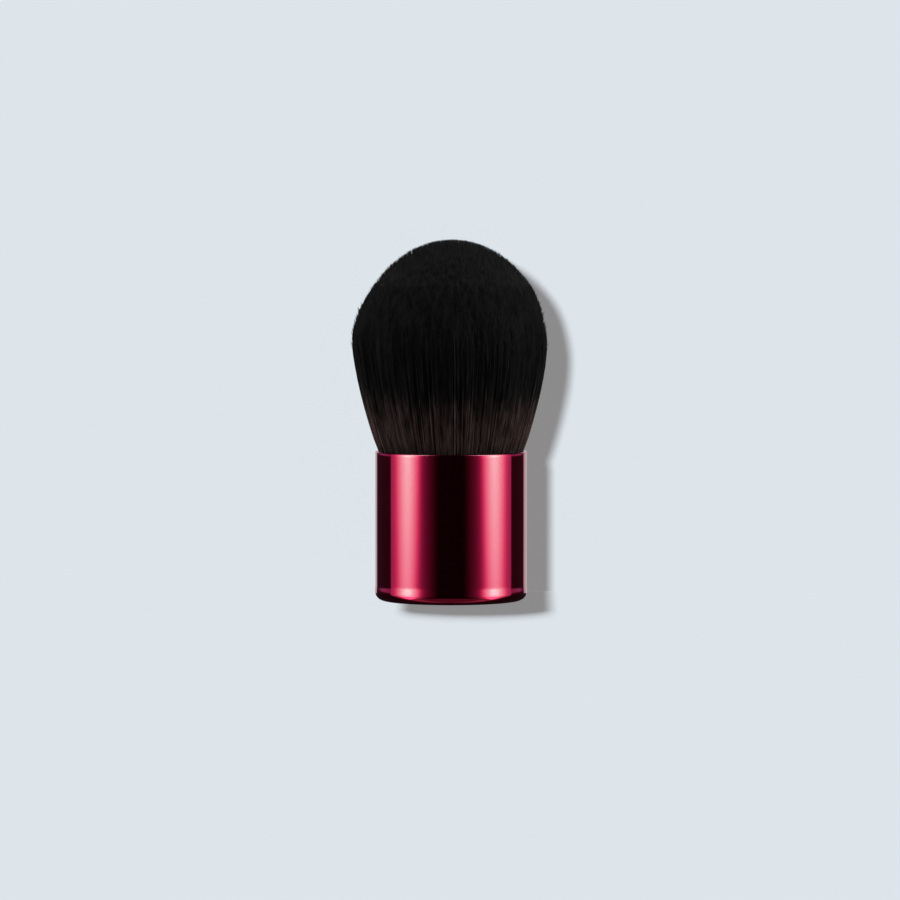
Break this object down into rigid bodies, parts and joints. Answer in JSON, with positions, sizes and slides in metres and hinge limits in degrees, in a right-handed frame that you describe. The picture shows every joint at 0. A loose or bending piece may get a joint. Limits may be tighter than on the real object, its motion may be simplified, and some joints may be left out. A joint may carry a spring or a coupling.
{
  "type": "kabuki makeup brush",
  "caption": "Short free-standing powder brush: a dense domed tuft of dark synthetic bristles in a weighted, polished aluminium cup handle with a rounded base.",
  "frame": {"origin": "centre of the flat base, on the brush's axis", "axes": "+Z along the brush's axis, from the base towards the tips of the bristles; X and Y are alike"},
  "size_m": [0.0456, 0.0453, 0.0859],
  "materials": {
    "anodised_aluminium": "polished and dyed magenta by anodising, mirror gloss",
    "turned_steel": "turned, bare",
    "bedding_adhesive": "cured hot-melt adhesive, satin",
    "moulded_abs": "moulded, natural ABS",
    "plain_aluminium": "drawn, bare",
    "waxed_thread": "waxed polyester thread",
    "cast_epoxy": "cast amber epoxy",
    "bristle_fibre": "fine black synthetic filament, dark brown towards the roots"
  },
  "bodies": {
    "root": {"handle_shell": "anodised_aluminium", "base_weight": "turned_steel", "weight_adhesive": "bedding_adhesive", "knot_holder": "moulded_abs", "knot_sleeve": "plain_aluminium", "binding_thread": "waxed_thread", "root_resin": "cast_epoxy", "bristles": "bristle_fibre"}
  },
  "joints": []
}
